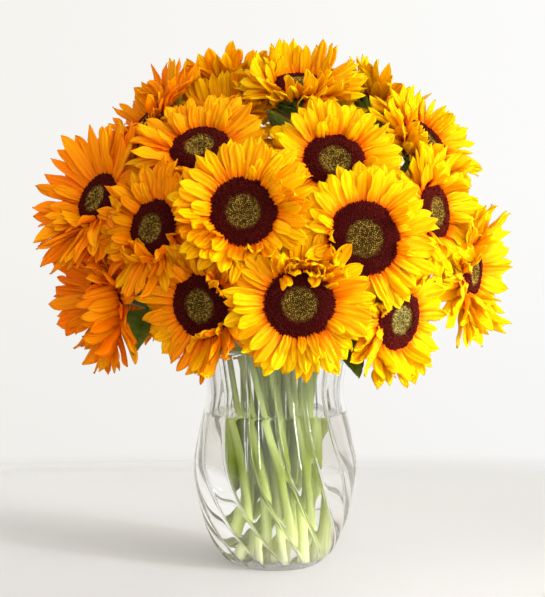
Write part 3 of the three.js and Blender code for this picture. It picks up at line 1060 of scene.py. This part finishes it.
def turnedVase(name, profile, **values):
    # the tree's mesh for a profile of (radius, height) points
    data = bpy.data.curves.new(name + "Profile", "CURVE")
    data.dimensions = "3D"
    spline = data.splines.new("POLY")
    spline.points.add(len(profile) - 1)
    for point, (radius, height) in zip(spline.points, profile):
        point.co = (radius, 0, height, 1)
    carrier = addObject(data.name, data, hidden=True)
    base = bpy.data.meshes.new(name + "Base")
    mesh = grownMesh(name, base, vaseTree, Profile=carrier, Height=vaseTop, **values)
    bpy.data.objects.remove(carrier)
    return mesh


def lineLength(points):
    return sum(dist(a, b) for a, b in zip(points, points[1:]))


def makeVase():
    outer = [(0.0, 0.0)] + splineRow(vaseShape["wall"], 70)
    inner = [p for p in innerWall()[::-1] if p[1] < vaseTop - 0.002]
    middle = (outer[-1][0] + inner[0][0]) / 2
    half = (outer[-1][0] - inner[0][0]) / 2
    outer = [p for p in outer if p[1] < vaseTop - half * 0.8]
    turns = [pi * k / 10 for k in range(11)]
    lip = [(middle + half * cos(turn), vaseTop - half * (1 - sin(turn))) for turn in turns]
    profile = outer + lip + [p for p in inner if p[1] < vaseTop - half]
    share = lineLength(outer + lip[:5]) / lineLength(profile)
    addPiece(turnedVase("glassVase", profile, Outside_share=share), "glass", "vase")


def makeWater():
    # the water fills the fluted wall and reaches a hair into the glass, so that no film of air shows
    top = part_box("water")[1].z
    into = 0.00012
    wall = [(r + into, z - into) for r, z in innerWall()]
    inner = [(0.0, wall[0][1])] + [p for p in wall[1:] if p[1] < top - 0.0005]
    edge = inner[-1][0]
    profile = inner + [(edge, top), (edge * 0.5, top), (0.0, top)]
    mesh = turnedVase("clearWater", profile, Rows=90, Outside_share=0.0)
    mesh.materials.clear()
    addPiece(mesh, "water", "water")


makeVase()
makeWater()
print("vase and water made")


leafShape = {
    "along": 22,
    "across": 14,
    "veins": 6,
    "pucker": 0.0019,
    "fold": 0.3,
    "droop": 0.15,
    "teeth": 0.05,
    "teethCount": 9,
    "thickness": 0.0005,
}


def makeLeaf(name):
    # the leaf lies along the CAD leaf's longest direction, its blade in that plate's plane
    look = leafShape
    cloud = np.array([tuple(p) for p in weldedNode(name)[0]])
    centre = cloud.mean(0)
    _, vectors = np.linalg.eigh(np.cov((cloud - centre).T))
    along, normal = Vector(vectors[:, 2]), Vector(vectors[:, 0])
    if along.dot(Vector(centre).xy.to_3d()) < 0:
        along.negate()
    if normal.z < 0:
        normal.negate()
    level = normal.cross(along)
    reach = (cloud - centre) @ np.array(along)
    root = Vector(centre) + along * float(reach.min())
    length = float(np.ptp(reach))
    width = float(np.ptp((cloud - centre) @ np.array(level)))
    places = []
    for r in range(look["along"] + 1):
        share = r / look["along"]
        blade = smoothStep(0.06, 0.2, share)
        half = width / 2 * lerp(0.09, sin(pi * min(1, share ** 0.62)) ** 0.8 + 0.02, blade)
        half *= 1 + look["teeth"] * blade * sin(share * tau * look["teethCount"])
        for c in range(look["across"] + 1):
            u = 2 * c / look["across"] - 1
            ribs = abs(sin(pi * look["veins"] * (share - abs(u) * 0.22)))
            lift = look["fold"] * abs(u) * half - look["droop"] * length * share ** 2.2
            lift += look["pucker"] * blade * (0.5 - ribs) * (1 - abs(u) ** 6)
            places.append(root + along * (length * share) + level * (half * u) + normal * lift)
    mesh = meshFrom("green_" + name, places, sheetFaces(look["along"], look["across"]))
    thicken(addPiece(mesh, "leaf", name), look["thickness"])


for name in sorted(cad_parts):
    if name.startswith("leaf_"):
        makeLeaf(name)
for template in (budTemplate, openTemplate, bractTemplate):
    bpy.data.objects.remove(template)
print("leaves made")


stageShape = {
    "half": 0.62,
    "fadeFrom": 0.43,  # the floor melts into the white behind it between here and its edge
    "fadeTo": 0.58,
    "colour": (0.7, 0.695, 0.68),
    "glow": (0.45, 0.437, 0.41),
    "glowShare": 0.5,  # painted light: share of the paper's white that glows, so that no shadow takes it away
    "glowBehind": 1.42,  # painted light: the glow is a little brighter towards the back, where the bunch's shadow falls
    "behind": 0.4,
}


def makeStage():
    look = stageShape
    tree = newMaterial("paper")
    spot = addNode(tree, "SeparateXYZ", addNode(tree, "TexCoord")["Object"])
    # a square with well rounded corners
    away = (spot["X"].math("ABSOLUTE") ** 4.0 + spot["Y"].math("ABSOLUTE") ** 4.0) ** 0.25
    # painted light: the paper glows, and glows more towards the back
    behind = smoothRange(tree, spot["Y"], 0.0, look["behind"], 1.0, look["glowBehind"])
    skin = addNode(tree, "BsdfDiffuse", look["colour"])
    glow = addNode(tree, "Emission", look["glow"], behind)
    lit = addNode(tree, "MixShader", look["glowShare"], skin, glow)
    gone = addNode(tree, "BsdfTransparent")
    fade = smoothRange(tree, away, look["fadeFrom"], look["fadeTo"])
    addNode(tree, "OutputMaterial", addNode(tree, "MixShader", fade, lit, gone))
    half = look["half"]
    places = [(-half, -half, 0), (half, -half, 0), (half, half, 0), (-half, half, 0)]
    mesh = meshFrom("stage", places, [[0, 1, 2, 3]], smooth=False)
    mesh.materials.append(materials["paper"])
    addObject("stage", mesh)


worldLook = {
    "left": (0.915, 0.905, 0.87),
    "right": (0.975, 0.97, 0.955),
    "turn": 0.15,  # how wide the change between them is
    "horizon": 0.95,  # how dark it is low down, beside the floor
    "shade": (0.1, 0.08, 0.06),  # what the glass picks up from the room at its left
    "dusk": (0.5, 0.47, 0.44),  # at its right
    "front": (0.92, 0.91, 0.89),  # and in front
    "fillLeft": 0.9,  # strength of the soft light from the left
    "fillRight": 1.8,  # and from the right
}


def makeWorld():
    # white behind the flowers, a little darker to the left; glass also sees the room's darker side
    look = worldLook
    world = bpy.data.worlds.new("studio")
    world.use_nodes = True
    tree = world.node_tree
    tree.nodes.clear()
    towards = addNode(tree, "SeparateXYZ", addNode(tree, "TexCoord")["Generated"])
    light = addNode(tree, "LightPath")
    x = towards["X"]
    paper = mixColours(tree, smoothRange(tree, x, -look["turn"], look["turn"]), look["left"], look["right"])
    # the room is white only behind the flowers, so glass takes darker edges from its sides and its front
    dimmed = paper
    for value, start, end, name in (
        (towards["Y"], 0.0, -0.6, "front"), (x, -0.55, -0.85, "shade"), (x, 0.65, 0.95, "dusk"),
    ):
        dimmed = mixColours(tree, smoothRange(tree, value, start, end), dimmed, look[name])
    plain = light["Is Camera Ray"].math("MAXIMUM", light["Is Diffuse Ray"])
    fill = smoothRange(tree, x, -0.4, 0.9, look["fillLeft"] - 1.0, look["fillRight"] - 1.0)
    low = smoothRange(tree, towards["Z"], -0.19, -0.03, look["horizon"], 1.0)
    strength = (light["Is Diffuse Ray"] * fill + 1.0) * low
    back = addNode(tree, "Background", mixColours(tree, plain, dimmed, paper), strength)
    addNode(tree, "OutputWorld", back)
    scene.world = world


# area lamps: place, aim, size, watts, colour and the angle they spread over, in degrees
lamps = {
    "key": ((1.75, -1.1, 1.0), (0, 0, 0.25), (1.3, 1.1), 38, (1.0, 0.99, 0.97), 180),
    "front": ((0.5, -2.3, 0.9), (0, 0, 0.25), (1.6, 1.0), 20, (1.0, 0.99, 0.97), 180),
    # a narrow lamp close to the table draws the vase's shadow and leaves the flowers alone
    "low": ((1.5, -0.93, 0.6), (-0.1, 0.06, 0.0), (0.4, 0.36), 1.12, (1.0, 0.99, 0.98), 20),
    # two thin lamps only draw white lines on the glass
    "stripLeft": ((-0.9, -1.5, 0.55), (0, 0, 0.12), (0.05, 0.9), 5, (1, 1, 1), 180),
    "stripRight": ((1.0, -1.4, 0.6), (0, 0, 0.12), (0.05, 0.9), 6, (1, 1, 1), 180),
}


def makeLamps():
    for name, (place, aim, size, watts, colour, spread) in lamps.items():
        data = bpy.data.lights.new(name, "AREA")
        data.shape = "RECTANGLE"
        data.size, data.size_y = size
        data.energy, data.color, data.spread = watts, colour, radians(spread)
        lamp = addObject(name, data)
        lamp.location = place
        lamp.rotation_euler = (Vector(aim) - Vector(place)).to_track_quat("-Z", "Y").to_euler()
        onGlass = name.startswith("strip")
        lamp.visible_glossy = lamp.visible_transmission = onGlass
        lamp.visible_diffuse = not onGlass


cameraShape = {
    "place": (-0.00225, -1.8, 0.415),
    "down": radians(5.53),
    "sensor": 36.0,
    "focal": 2010.0 / 597,  # focal length as a share of the photograph's longer side
}


def makeCamera():
    look = cameraShape
    data = bpy.data.cameras.new("camera")
    data.sensor_width, data.lens = look["sensor"], look["sensor"] * look["focal"]
    camera = addObject("camera", data)
    camera.location = look["place"]
    camera.rotation_euler = (pi / 2 - look["down"], 0, 0)
    scene.camera = camera


makeStage()
makeWorld()
makeLamps()
makeCamera()
scene.view_settings.view_transform = "Standard"
scene.cycles.max_bounces = 32  # light runs a long way inside fluted glass
scene.cycles.transmission_bounces = 32
scene.cycles.glossy_bounces = 16
print("stage, lights and camera made")
